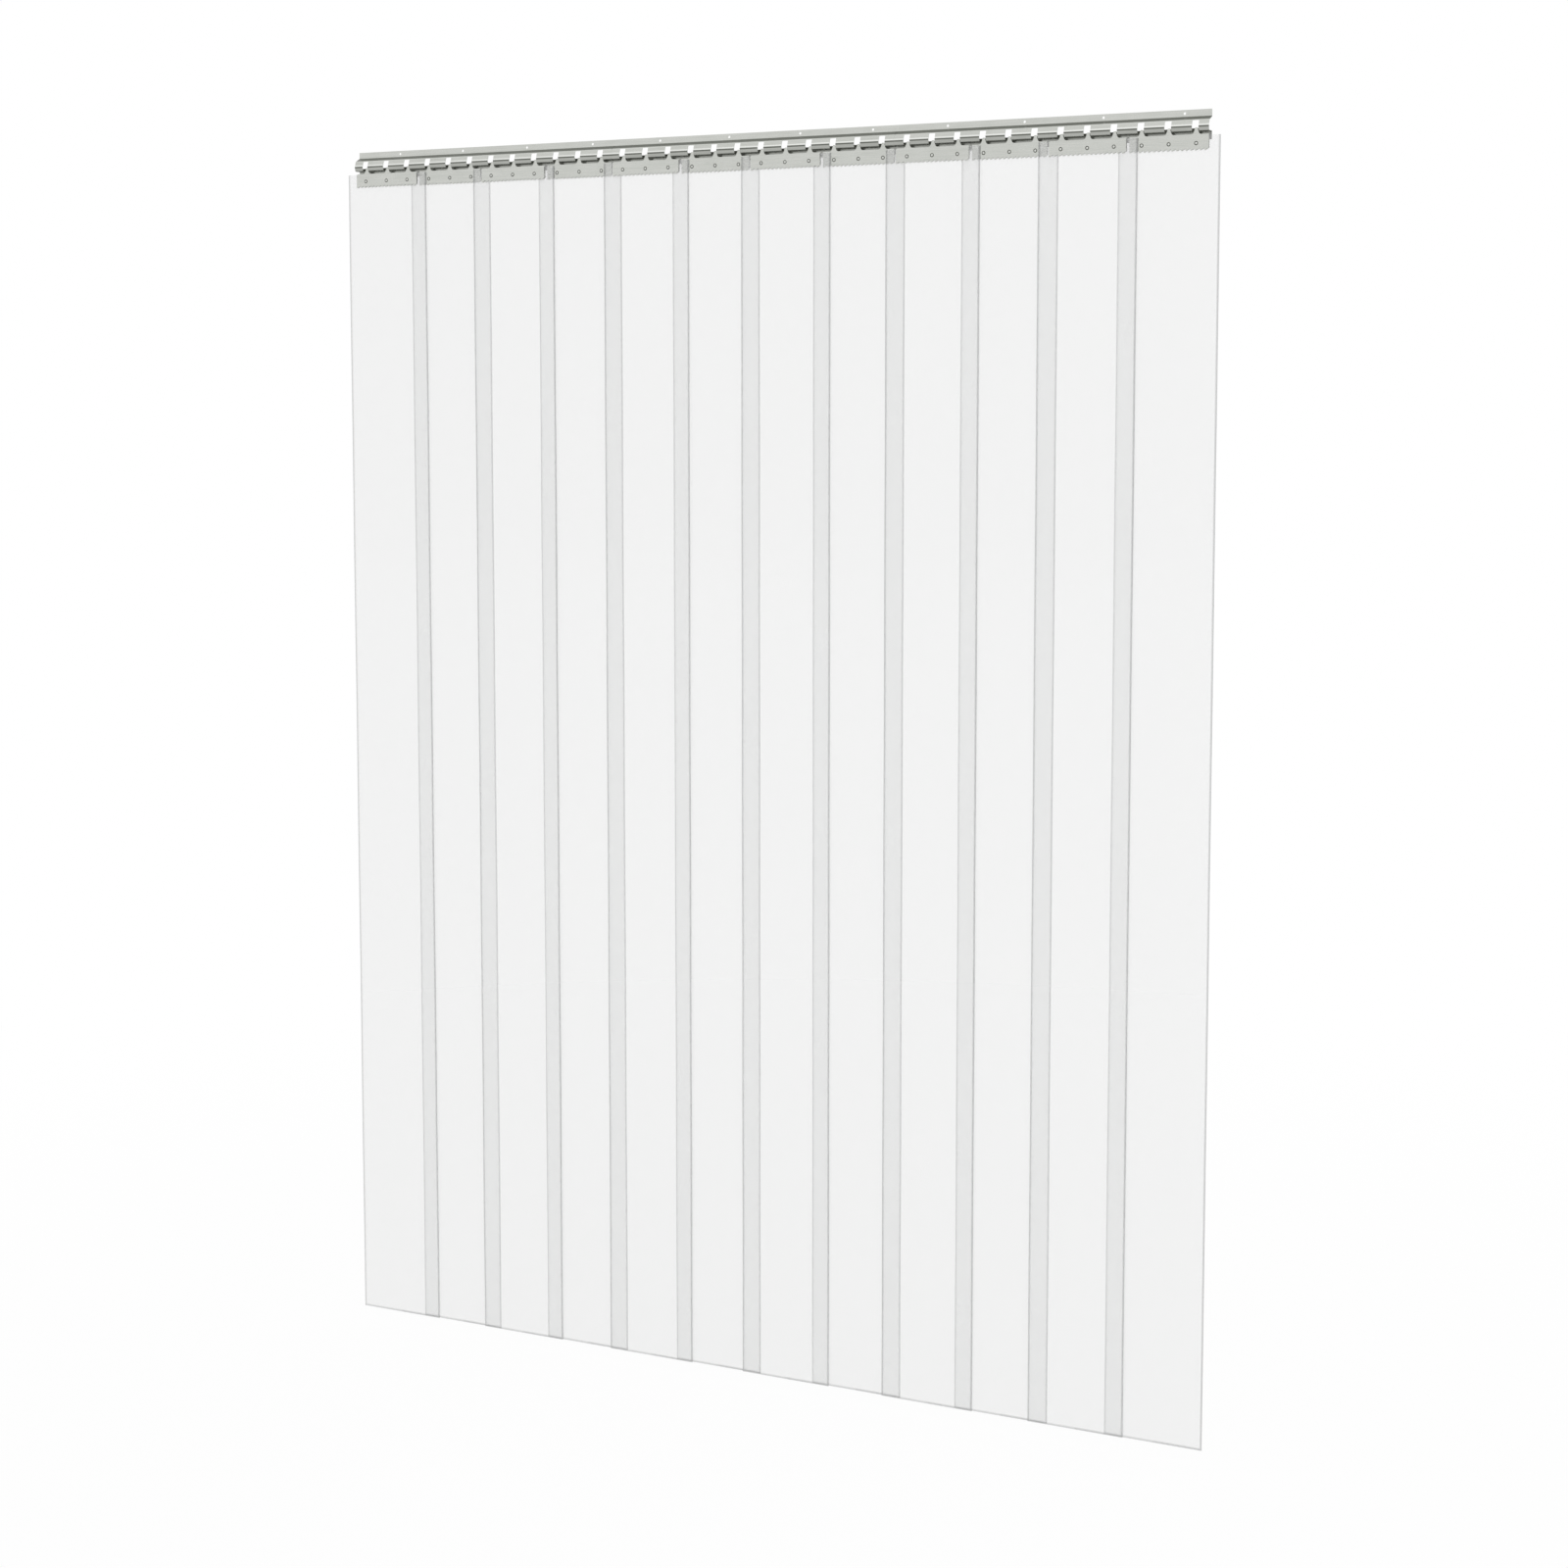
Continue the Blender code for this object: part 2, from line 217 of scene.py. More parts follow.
class StripSettings(bpy.types.PropertyGroup):
    """Sizes of the strips and the way they hang."""

    width: size("Width", "Width of a strip", STRIP_HIGH[0] - STRIP_LOW[0])
    length: size("Length", "Length of a strip", STRIP_HIGH[2] - STRIP_LOW[2])
    thickness: size("Thickness", "Thickness of a strip", STRIP_HIGH[1] - STRIP_LOW[1])
    # The edge band is painted shade along the strip's edges.
    edge_band: size("Edge band", "Width of the denser look along the edges", 0.0050)
    rim_band: size("Rim band", "Width of the fine line along the very edges", 0.0016)
    haze: share("Haze", "Share of the light that a strip's own body sends back", 0.205)
    row: size("Row", "Distance between rows of points down the strip", 0.05)
    ripple: size("Ripple", "How far a strip strays from flat", 0.00035)
    ripple_length: size("Ripple length", "Length of one ripple down the strip", 0.62)
    ripple_drop: size("Ripple drop", "From the strip's top down to its full ripple", 0.5)


class FinishSettings(bpy.types.PropertyGroup):
    """Colours of the materials."""

    steel: colour("Steel", "Colour of the brushed steel", (0.71, 0.72, 0.685))
    steel_streak: colour("Steel streak", "Colour of the steel's brush marks", (0.61, 0.625, 0.585))
    # The colour of the painted highlight on the rail's ridge.
    steel_painted_highlight: colour("Steel bright", "Colour of the steel's polished bend", (0.86, 0.87, 0.84))
    # The colour of the painted shade along the rail's bends, under its flange and on its barrel.
    steel_painted_shade: colour("Steel fold", "Colour of the steel along its folds", (0.085, 0.09, 0.075))
    # The colour of the painted shade inside the rail.
    steel_inside_shade: colour("Steel inside", "Colour of the steel inside the rail", (0.44, 0.445, 0.42))
    # The colour of the painted shade on the front of the rail's tabs, seen through the slots.
    steel_tab_shade: colour("Steel tab", "Colour of the front of the rail's tabs", (0.17, 0.175, 0.155))
    rivet: colour("Rivet", "Colour of the rivets", (0.74, 0.75, 0.72))
    # The colour of the painted shade round a rivet's head.
    rivet_rim_shade: colour("Rivet rim", "Colour of the pressed rim round a rivet", (0.06, 0.062, 0.055))
    pvc_tint: colour("PVC tint", "What a strip's face lets through", (0.974, 0.975, 0.975))
    pvc_body: colour("PVC body", "Colour of the strip's own haze", (0.95, 0.95, 0.948))
    # The colour of the painted shade along a strip's edges.
    pvc_edge_shade: colour("PVC edge", "Colour seen along a strip's cut edges", (0.40, 0.405, 0.405))
    floor: colour("Floor", "Colour of the floor", (0.86, 0.86, 0.86))


class StageSettings(bpy.types.PropertyGroup):
    """Camera, floor and lights."""

    camera_x: size("Camera x", "Where the camera stands along the rail", 2.6822)
    camera_y: size("Camera y", "Where the camera stands in front of the wall", -5.0550)
    camera_z: size("Camera z", "Camera height, from the middle of the rail's flange", -0.5598)
    camera_turn: angle("Camera turn", "Turn of the camera to the left", 27.33)
    camera_tilt: angle("Camera tilt", "Downward tilt of the camera", 5.53)
    lens: FloatProperty(name="Lens", description="Focal length", default=0.06473, unit="CAMERA")
    shift: share("Shift", "Downward shift of the view, as a share of its width", 0.06)
    floor_gap: size("Floor gap", "Gap between the strips and the floor", 0.030)
    floor_size: size("Floor size", "Side of the floor", 60.0)
    ambient: share("Ambient", "Strength of the room's light", 0.80)


class Link:
    """A socket in a node tree. Sums, products and the like of links add Math nodes."""

    def __init__(self, tree, socket=None):
        self.tree = tree
        self.socket = socket

    def node(self, kind, settings=None, inputs=None, output=0):
        """Adds a node: its settings first, then the values or links of its sockets."""
        made = self.tree.nodes.new(kind)
        for name, value in (settings or {}).items():
            setattr(made, name, value)
        for name, value in (inputs or {}).items():
            if isinstance(value, Link):
                self.tree.links.new(value.socket, made.inputs[name])
            else:
                made.inputs[name].default_value = value
        return Link(self.tree, made.outputs[output] if len(made.outputs) else None)

    def other(self, output):
        """Another output of the node that this link comes from."""
        return Link(self.tree, self.socket.node.outputs[output])

    def maths(self, operation, first, second=0.0):
        return self.node("ShaderNodeMath", {"operation": operation}, {0: first, 1: second})

    def __add__(self, other):
        return self.maths("ADD", self, other)

    __radd__ = __add__

    def __sub__(self, other):
        return self.maths("SUBTRACT", self, other)

    def __rsub__(self, other):
        return self.maths("SUBTRACT", other, self)

    def __mul__(self, other):
        return self.maths("MULTIPLY", self, other)

    __rmul__ = __mul__

    def smooth(self, low, high):
        """0 below low, 1 above high, and a smooth climb between them."""
        return self.node(
            "ShaderNodeMapRange",
            {"interpolation_type": "SMOOTHSTEP", "clamp": True},
            {"Value": self, "From Min": low, "From Max": high},
        )

    def blend(self, first, second):
        """The colour first where this is 0 and second where it is 1."""
        return self.node(
            "ShaderNodeMix", {"data_type": "RGBA"}, {"Factor": self, 6: first, 7: second}, output=2
        )

    def stretched(self, scale):
        """This place, scaled along each axis."""
        return self.node("ShaderNodeMapping", inputs={"Vector": self, "Scale": scale})

    def noise(self, scale, detail, roughness=0.5):
        """A cloudy pattern over this place."""
        return self.node(
            "ShaderNodeTexNoise",
            inputs={"Vector": self, "Scale": scale, "Detail": detail, "Roughness": roughness},
        )


def rgba(shade, light=1.0):
    """The colour as a socket takes it, times light."""
    return (shade[0] * light, shade[1] * light, shade[2] * light, 1.0)


def new_material(name):
    """An empty material and the link that its nodes are added from."""
    material = bpy.data.materials.new(name)
    material.use_nodes = True
    material.node_tree.nodes.clear()
    return material, Link(material.node_tree)


def steel_material(name, shade, streak, painted_bands=()):
    """Brushed steel. The brush marks run along X, and roughness and height follow them.

    A painted band is (top, bottom, blur, cover, colour): a band of heights painted in another
    colour, as painted shade or a painted highlight."""
    material, root = new_material(name)
    place = root.node("ShaderNodeTexCoord", output="Object")
    marks = place.stretched(BRUSH_STRETCH).noise(1.0, 4.0, 0.6)
    streaks = marks.smooth(0.32, 0.72)
    patches = place.noise(22.0, 3.0, 0.55).smooth(0.35, 0.70)
    specks = place.noise(160.0, 5.0, 0.65).smooth(0.60, 0.78)
    base = (streaks * 0.75 + patches * 0.25).blend(rgba(shade), rgba(streak))
    base = (specks * 0.35).blend(base, rgba(streak, 0.8))
    height = place.node("ShaderNodeSeparateXYZ", inputs={"Vector": place}, output="Z")
    for top, bottom, blur, cover, tone in painted_bands:
        above = height.smooth(bottom - blur, bottom + blur)
        below = 1.0 - height.smooth(top - blur, top + blur)
        base = (above * below * cover).blend(base, rgba(tone))
    rough = 0.21 + streaks * 0.12 + patches * 0.05 + specks * 0.10
    bump = root.node(
        "ShaderNodeBump", inputs={"Strength": 0.16, "Distance": 0.00012, "Height": marks}
    )
    surface = root.node(
        "ShaderNodeBsdfPrincipled",
        inputs={"Base Color": base, "Metallic": 1.0, "Roughness": rough, "Normal": bump},
    )
    root.node("ShaderNodeOutputMaterial", inputs={"Surface": surface})
    return material


def pvc_material(finish, strip):
    """Clear soft PVC: faintly tinted and hazy, with draw lines, and painted shade along its cut
    edges.
    """
    material, root = new_material("clear_pvc")
    flat = root.node("ShaderNodeUVMap", {"uv_map": FLAT_LAYOUT})
    across = flat.node("ShaderNodeSeparateXYZ", inputs={"Vector": flat})
    down = across.other("Y")
    # Distance to the nearest cut edge, and 1 on the half of the strip to the right of its middle.
    side = strip.width / 2 - across.maths("ABSOLUTE", across)
    near = side.maths("MINIMUM", side, strip.length - down)
    edge = 1.0 - near.smooth(strip.edge_band * 0.5, strip.edge_band)
    rim = 1.0 - near.smooth(strip.rim_band * 0.5, strip.rim_band)
    middle_blur = 0.002
    right = across.smooth(-middle_blur, middle_blur)
    drawn = flat.stretched((420.0, 1.6, 1.0)).noise(1.0, 3.0)
    waves = flat.stretched((9.0, 2.5, 1.0)).noise(1.0, 1.0)
    scuffs = flat.noise(38.0, 6.0, 0.7).smooth(0.58, 0.80)
    bump = root.node(
        "ShaderNodeBump",
        inputs={"Strength": 0.25, "Distance": 0.0012, "Height": waves + drawn * 0.05},
    )
    body = root.node(
        "ShaderNodeBsdfPrincipled",
        inputs={
            "Base Color": edge.blend(rgba(finish.pvc_body), rgba(finish.pvc_edge_shade)),
            "Roughness": 0.08 + scuffs * 0.25,
            "IOR": 2.2,
            "Normal": bump,
        },
    )
    clear = root.node("ShaderNodeBsdfTransparent", inputs={"Color": rgba(finish.pvc_tint)})
    facing = root.node("ShaderNodeLayerWeight", inputs={"Blend": 0.5}, output="Facing")
    grazing = facing.maths("POWER", facing, 5.0)
    shown = grazing * 0.7 + scuffs * 0.015 + strip.haze
    # Painted shade along the edges, heavier along right-hand edges, and a darker painted line at
    # the very edges.
    shown = shown + edge * (0.055 + right * 0.075) + rim * 0.07
    shown = shown.maths("MINIMUM", shown, 1.0)
    surface = root.node("ShaderNodeMixShader", inputs={"Fac": shown, 1: clear, 2: body})
    root.node("ShaderNodeOutputMaterial", inputs={"Surface": surface})
    return material


def seen_directly(root, *kinds):
    """Is Camera Ray, and a link that is 1 for camera rays and rays of the other kinds."""
    camera = seen = root.node("ShaderNodeLightPath", output="Is Camera Ray")
    for kind in kinds:
        seen = seen.maths("MAXIMUM", seen, camera.other(kind))
    return camera, seen


def floor_material(finish):
    """A pale floor that camera, metal and clear pieces see as white, with its shadow kept."""
    material, root = new_material("studio_floor")
    place = root.node("ShaderNodeTexCoord", output="Object")
    grain = place.noise(3.0, 3.0).smooth(0.3, 0.7)
    shade = grain.blend(rgba(finish.floor), rgba(finish.floor, 0.985))
    matt = root.node("ShaderNodeBsdfPrincipled", inputs={"Base Color": shade, "Roughness": 0.9})
    white = root.node("ShaderNodeEmission", inputs={"Color": WHITE, "Strength": 1.0})
    _, seen = seen_directly(root, "Is Glossy Ray", "Is Transmission Ray")
    # Near the curtain a little of the floor itself shows, and with it the shadow.
    reach = place.node("ShaderNodeVectorMath", {"operation": "LENGTH"}, {0: place}, output="Value")
    cover = 0.94 + reach.smooth(1.8, 5.0) * 0.06
    surface = root.node("ShaderNodeMixShader", inputs={"Fac": seen * cover, 1: matt, 2: white})
    root.node("ShaderNodeOutputMaterial", inputs={"Surface": surface})
    return material


def new_piece(name, mesh, *materials):
    """An object of the mesh. Its faces keep the numbers of the materials that they take."""
    numbers = [face.material_index for face in mesh.polygons]
    mesh.materials.clear()
    for material in materials:
        mesh.materials.append(material)
    mesh.polygons.foreach_set("material_index", numbers)
    return linked(name, mesh)


def linked(name, data):
    """A new object in the scene."""
    obj = bpy.data.objects.new(name, data)
    bpy.context.scene.collection.objects.link(obj)
    return obj


def mesh_of(name, bm):
    """A mesh of what bm holds. bm itself is freed."""
    mesh = bpy.data.meshes.new(name)
    bm.to_mesh(mesh)
    bm.free()
    return mesh


def helper(name, bm):
    """A working object with its faces turned outwards, which applied() removes again."""
    bmesh.ops.recalc_face_normals(bm, faces=bm.faces[:])
    return linked(name, mesh_of(name, bm))


def modifier(obj, kind, **settings):
    """Adds a modifier of the kind with its settings."""
    made = obj.modifiers.new(kind.title(), kind)
    for name, value in settings.items():
        setattr(made, name, value)
    return made


def break_edges(obj, width):
    """Takes the sharpness off the sheet's cut edges."""
    modifier(obj, "BEVEL", width=width, segments=2, limit_method="ANGLE", angle_limit=BREAK_ANGLE)


def evaluated(obj):
    """A new mesh of the object as its modifiers make it."""
    bpy.context.view_layer.update()
    graph = bpy.context.evaluated_depsgraph_get()
    return bpy.data.meshes.new_from_object(obj.evaluated_get(graph))


def applied(obj, helpers):
    """The object's mesh with its modifiers applied, its bends smooth and its flats flat.

    The object and its helpers are removed."""
    shaped = evaluated(obj)
    shaped.shade_smooth()
    shaped.set_sharp_from_angle(angle=SHARP_ANGLE)
    carrier = linked(obj.name, shaped)
    modifier(carrier, "WEIGHTED_NORMAL", keep_sharp=True, weight=80)
    mesh = evaluated(carrier)
    mesh.name = obj.name
    for used in (obj, carrier, *helpers):
        bpy.data.objects.remove(used, do_unlink=True)
    bpy.data.meshes.remove(shaped)
    return mesh


def centred(count, pitch):
    """As many places, a pitch apart, with zero in their middle."""
    return [(k - (count - 1) / 2) * pitch for k in range(count)]


def rounded(path, radii, steps=8):
    """The path with each inner corner replaced by an arc of its radius."""
    points = [Vector(path[0])]
    for before, corner, after, radius in zip(path, path[1:], path[2:], radii):
        corner = Vector(corner)
        back = (Vector(before) - corner).normalized()
        ahead = (Vector(after) - corner).normalized()
        half = back.angle(ahead) / 2
        centre = corner + (back + ahead).normalized() * radius / math.sin(half)
        start = corner + back * radius / math.tan(half) - centre
        end = corner + ahead * radius / math.tan(half) - centre
        turn = start.angle_signed(end)
        for step in range(steps + 1):
            points.append(centre + Matrix.Rotation(-turn * step / steps, 2) @ start)
    points.append(Vector(path[-1]))
    return points


def prism(bm, outline, low_x, high_x):
    """Adds a closed body with a (y, z) outline between two places along X."""
    rings = [[bm.verts.new((x, y, z)) for y, z in outline] for x in (low_x, high_x)]
    bm.faces.new(rings[0])
    bm.faces.new(reversed(rings[1]))
    for k in range(len(outline)):
        bm.faces.new((rings[0][k - 1], rings[1][k - 1], rings[1][k], rings[0][k]))


def turned(bm, profile, x, z, sides=24):
    """Adds a closed body turned about a line along Y. The profile's points are (radius, y)."""
    arms = [2 * math.pi * k / sides for k in range(sides)]
    rings = [
        [bm.verts.new((x + radius * math.cos(arm), y, z + radius * math.sin(arm))) for arm in arms]
        for radius, y in profile
    ]
    for ring, following in zip(rings, rings[1:]):
        for k in range(sides):
            bm.faces.new((ring[k - 1], ring[k], following[k], following[k - 1]))
    bm.faces.new(rings[0])
    bm.faces.new(reversed(rings[-1]))


def hole(bm, radius, x, y, z, reach):
    """Adds a tool that drills a hole along Y, as far as reach on both sides of y."""
    turned(bm, [(radius, y - reach), (radius, y + reach)], x, z)


def hanger_x(number):
    """The place of a hanger's middle along the rail."""
    low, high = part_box(f"strip_{number}")
    return (low[0] + high[0]) / 2


def plate_places():
    """The plates' pitch, and their places along one section from its own middle."""
    pitch = hanger_x("02") - hanger_x("01")
    return pitch, centred(len(HANGERS) // len(SECTIONS), pitch)


def rail_levels(rail):
    """Heights of the crease, the shelf's corner, the ridge and the barrel's bottom."""
    crease = SECTION_HIGH[2] - rail.flange
    shelf = crease - rail.shelf_drop
    ridge = shelf - rail.web_drop
    return crease, shelf, ridge, ridge - rail.barrel


def rail_painted_bands(rail, finish):
    """The bands of painted shade and painted highlight along the rail's bends, as steel_material
    takes them.
    """
    crease, shelf, ridge, bottom = rail_levels(rail)
    dark, bright = finish.steel_painted_shade, finish.steel_painted_highlight
    # Where the bands start and end, a little above or below the rail's own levels.
    lap = 0.0004
    shelf_end = shelf + 0.0012
    highlight_start, highlight_end = ridge + 0.0040, ridge + 0.0012
    shade_end = ridge - 0.0018
    bend_start, bend_end = bottom + 0.0014, bottom - 0.0010
    return (
        # Painted shade on the shelf under the flange, and a faint painted shade on the web.
        (crease + lap, shelf_end, 0.0008, 0.88, dark),
        (shelf + lap, highlight_start + lap, 0.0006, 0.14, dark),
        # A painted highlight on the ridge's upper side, and painted shade on its lower side.
        (highlight_start, highlight_end, 0.0005, 0.80, bright),
        (highlight_end, shade_end, 0.0004, 0.88, dark),
        # Painted shade on the barrel and foot, and more of it on the bend between them.
        (shade_end, bottom - rail.foot, 0.0006, 0.42, dark),
        (bend_start, bend_end, 0.0006, 0.60, dark),
    )


def rail_path(rail):
    """The middle of the rail's sheet as (y, z), from the flange's top to the foot's end."""
    crease, shelf, ridge, bottom = rail_levels(rail)
    wall_y, front_y = -rail.sheet / 2, rail.sheet / 2 - rail.depth
    lip_z = bottom + rail.sheet / 2
    corners = [
        (wall_y, SECTION_HIGH[2]),
        (wall_y, crease),
        (-rail.shelf_depth, shelf),
        (front_y, ridge),
        (front_y + rail.barrel_setback, lip_z),
        (wall_y, lip_z),
        (wall_y, bottom - rail.foot),
    ]
    radii = [
        rail.crease_radius,
        rail.shelf_radius,
        rail.ridge_radius,
        rail.lip_radius,
        rail.crease_radius,
    ]
    return rounded(corners, radii)


def slot_outline(rail, past):
    """What a slot cuts away, as (y, z): all above the hinge axis, and the barrel below it."""
    _, shelf, _, bottom = rail_levels(rail)
    top, wall_y = shelf - rail.slot_setback, -rail.sheet / 2
    return [
        (-rail.depth - past, top),
        (wall_y, top),
        (wall_y, AXIS_Z),
        (AXIS_Y, AXIS_Z),
        (AXIS_Y, bottom - past),
        (-rail.depth - past, bottom - past),
    ]


def tab_outline(rail):
    """A tab that stands on the lip and ends in a rolled edge round the hinge axis, as (y, z)."""
    half_sheet = rail.sheet / 2
    foot = rail_levels(rail)[3] + half_sheet
    opening = math.asin(half_sheet / rail.roll_radius)
    sweep = 2 * math.pi - 2 * opening
    outline = [(AXIS_Y - half_sheet, foot)]
    for step in range(ROLL_STEPS + 1):
        arm = -math.pi / 2 - opening - sweep * step / ROLL_STEPS
        outline.append(
            (AXIS_Y + rail.roll_radius * math.cos(arm), AXIS_Z + rail.roll_radius * math.sin(arm))
        )
    return [*outline, (AXIS_Y + half_sheet, foot)]


def number_rail_faces(mesh, rail):
    """Gives the rail's outer faces, its inner faces and the front of its tabs their materials."""
    crease, shelf, ridge, bottom = rail_levels(rail)
    half_sheet = rail.sheet / 2
    front_y = half_sheet - rail.depth
    # Faces this little behind the sheet's middle already count as inner ones.
    slack = half_sheet * 0.2
    slope = rail.shelf_drop / (rail.shelf_depth - half_sheet)
    for face in mesh.polygons:
        _, y, z = face.center
        if bottom + half_sheet < z < shelf:
            above, below = max(0.0, z - ridge), max(0.0, ridge - z)
            middle = front_y + (-rail.shelf_depth - front_y) * (above / (shelf - ridge))
            middle += rail.barrel_setback * (below / rail.barrel)
            if middle + 2 * rail.sheet < y < AXIS_Y + slack:
                face.material_index = TAB_FRONT
            else:
                face.material_index = INNER if y > middle + slack else OUTER
        elif shelf <= z < crease:
            under = z < crease + (half_sheet + y) * slope - slack
            face.material_index = INNER if under else OUTER


def rail_mesh(rail, plate):
    """One section of the rail round its own middle: bent sheet, slots, tabs and screw holes."""
    half = (SECTION_HIGH[0] - SECTION_LOW[0]) / 2
    path = rail_path(rail)
    bm = bmesh.new()
    rows = [[bm.verts.new((x, y, z)) for y, z in path] for x in (-half, half)]
    for k in range(1, len(path)):
        bm.faces.new((rows[0][k - 1], rows[1][k - 1], rows[1][k], rows[0][k]))
    body = helper("rail_body", bm)
    modifier(body, "SOLIDIFY", thickness=rail.sheet, offset=0.0, use_even_offset=True)

    # How far the cutting tools reach past the sheet.
    past = 4 * rail.sheet
    slot, tab = slot_outline(rail, past), tab_outline(rail)
    slots, tabs, holes = bmesh.new(), bmesh.new(), bmesh.new()
    pitch, plates = plate_places()
    hook_pitch = pitch / plate.claws
    half_slot = rail.slot_width / 2
    half_tab = half_slot + rail.tab_lap
    for x in centred(len(plates) * plate.claws, hook_pitch):
        prism(slots, slot, x - half_slot, x + half_slot)
        prism(tabs, tab, x - half_tab, x + half_tab)
    near = 1e-6
    upper = [
        edge for edge in slots.edges
        if all(abs(v.co.z - slot[0][1]) < near for v in edge.verts)
        and abs(edge.verts[0].co.x - edge.verts[1].co.x) < near
    ]
    bmesh.ops.bevel(
        slots, geom=upper, offset=rail.slot_corner, segments=4, affect="EDGES", profile=0.5
    )
    for x in plates:
        hole(holes, rail.screw_hole / 2, x + hook_pitch / 2, 0.0, 0.0, past)
    tools = [helper("slots", slots), helper("tabs", tabs), helper("screw_holes", holes)]
    for tool, operation in zip(tools, ("DIFFERENCE", "UNION", "DIFFERENCE")):
        modifier(body, "BOOLEAN", object=tool, operation=operation)
    break_edges(body, rail.edge)
    mesh = applied(body, tools)
    number_rail_faces(mesh, rail)
    return mesh


def plate_outline(plate, length, top):
    """The plate's bottom edge with its saw teeth, from right to left, as (x, z)."""
    half = length / 2
    bottom = AXIS_Z - plate.drop - plate.height
    count = round(length / plate.tooth_pitch)
    pitch = length / count
    teeth = []
    for k in range(count):
        right = half - k * pitch
        teeth.append((right, bottom + plate.tooth_depth))
        teeth.append((right - pitch + plate.tooth_flat, bottom))
    return [(half, top), *teeth, (-half, bottom), (-half, top)]


def claw_rows(plate, plate_y):
    """Middle of a claw's sheet as (y, z, width), from the flare up and over the rolled edge."""
    top = AXIS_Z - plate.drop
    curl = AXIS_Y - plate_y
    rows = []
    for step in range(1, FLARE_STEPS + 1):
        left = 1 - step / FLARE_STEPS
        width = plate.claw_neck + (plate.claw_base - plate.claw_neck) * left ** FLARE_POWER
        rows.append((plate_y, top + plate.claw_flare * (1 - left), width))
    rise = AXIS_Z - (top + plate.claw_flare)
    for step in range(1, NECK_STEPS + 1):
        left = 1 - step / NECK_STEPS
        width = plate.claw_tip + (plate.claw_neck - plate.claw_tip) * left ** NECK_POWER
        rows.append((plate_y, AXIS_Z - rise * left, width))
    for step in range(1, CURL_STEPS + 1):
        turn = math.pi * step / CURL_STEPS
        arm = math.pi - turn
        width = plate.claw_tip - plate.claw_narrowing * math.sin(min(math.pi / 2, turn)) ** 2
        rows.append((AXIS_Y + curl * math.cos(arm), AXIS_Z + curl * math.sin(arm), width))
    end = plate.claw_tip - plate.claw_narrowing
    return [*rows, (AXIS_Y + curl, AXIS_Z - plate.claw_return, end)]


def plate_mesh(name, plate, length, plate_y, top, clawed):
    """A stamped plate round its own middle, with rivet holes, and with claws where it has them."""
    pitch = length + plate.gap
    places = centred(plate.claws, pitch / plate.claws)
    claws = places if clawed else []
    outline = plate_outline(plate, length, top)
    feet = [(x + side * plate.claw_base / 2, top) for x in claws for side in (-1, 1)]
    bm = bmesh.new()
    corners = [bm.verts.new((x, plate_y, z)) for x, z in outline + feet]
    bm.faces.new(corners)
    foot_verts = corners[len(outline):]
    for k, x in enumerate(claws):
        left, right = foot_verts[2 * k], foot_verts[2 * k + 1]
        for y, z, width in claw_rows(plate, plate_y):
            row = [bm.verts.new((x + side * width / 2, y, z)) for side in (-1, 1)]
            bm.faces.new((left, right, row[1], row[0]))
            left, right = row
    body = helper(name, bm)
    modifier(body, "SOLIDIFY", thickness=plate.sheet, offset=0.0, use_even_offset=True)
    holes = bmesh.new()
    rivet_z = AXIS_Z - plate.drop - plate.rivet_drop
    for x in places:
        hole(holes, plate.rivet_shank / 2 + plate.clearance, x, plate_y, rivet_z, plate.sheet * 2)
    tool = helper(name + "_holes", holes)
    modifier(body, "BOOLEAN", object=tool, operation="DIFFERENCE")
    break_edges(body, plate.edge)
    return applied(body, [tool])


def rivet_mesh(plate, front, back):
    """A rivet round its own axis: domed head with a pressed rim at front, and a flat tail at back.

    The rim's faces take the second material, which paints shade round the head."""
    head, shank, tail = plate.rivet_head / 2, plate.rivet_shank / 2, plate.rivet_tail / 2
    dome, depth = plate.rivet_dome, plate.rivet_tail_height
    inner = head * 0.56
    # A small dent in the middle, and the dome round it.
    profile = [(inner * 0.14, front - dome * 0.62), (inner * 0.22, front - dome * 0.98)]
    for step in range(2, DOME_STEPS + 1):
        arm = math.pi / 2 * step / DOME_STEPS
        profile.append((inner * math.sin(arm), front - dome * (0.40 + 0.60 * math.cos(arm))))
    profile += [
        # The pressed rim, with a fine lip outside it.
        (head * 0.62, front - dome * 0.16),
        (head * 0.84, front - dome * 0.14),
        (head * 0.96, front - dome * 0.26),
        (head, front - dome * 0.12),
        (head, front),
        # The shank through the plates, and the tail with its hollow.
        (shank, front),
        (shank, back),
        (tail, back),
        (tail, back + depth * 0.6),
        (tail * 0.86, back + depth),
        (shank * 0.55, back + depth),
        (shank * 0.5, back + depth * 0.3),
    ]
    bm = bmesh.new()
    turned(bm, profile, 0.0, 0.0, sides=28)
    for face in bm.faces:
        middle = face.calc_center_median()
        reach = math.hypot(middle.x, middle.z)
        if middle.y < front and inner < reach < head * 0.95:
            face.material_index = 1
    return mesh_of("rivet", bm)


def strip_ring(strip):
    """A strip's cross-section as (x, y), from its right edge over the front and back again."""
    half, thick = strip.width / 2, strip.thickness / 2
    reach = thick * EDGE_REACH_SHARE
    arc = [math.pi / 2 * k / EDGE_STEPS for k in range(1, EDGE_STEPS + 1)]
    rounding = [(half - reach * (1 - math.cos(arm)), -thick * math.sin(arm)) for arm in arc]
    close = [half - inset for inset in EDGE_COLUMNS]
    inner = [close[-1] * (1 - 2 * k / MIDDLE_SPACES) for k in range(1, MIDDLE_SPACES)]
    flat = [(x, -thick) for x in (*close, *inner, *(-x for x in reversed(close)))]
    front = [*rounding, *flat, *((-x, y) for x, y in reversed(rounding))]
    return [(half, 0.0), *front, (-half, 0.0), *((-x, -y) for x, y in front)]


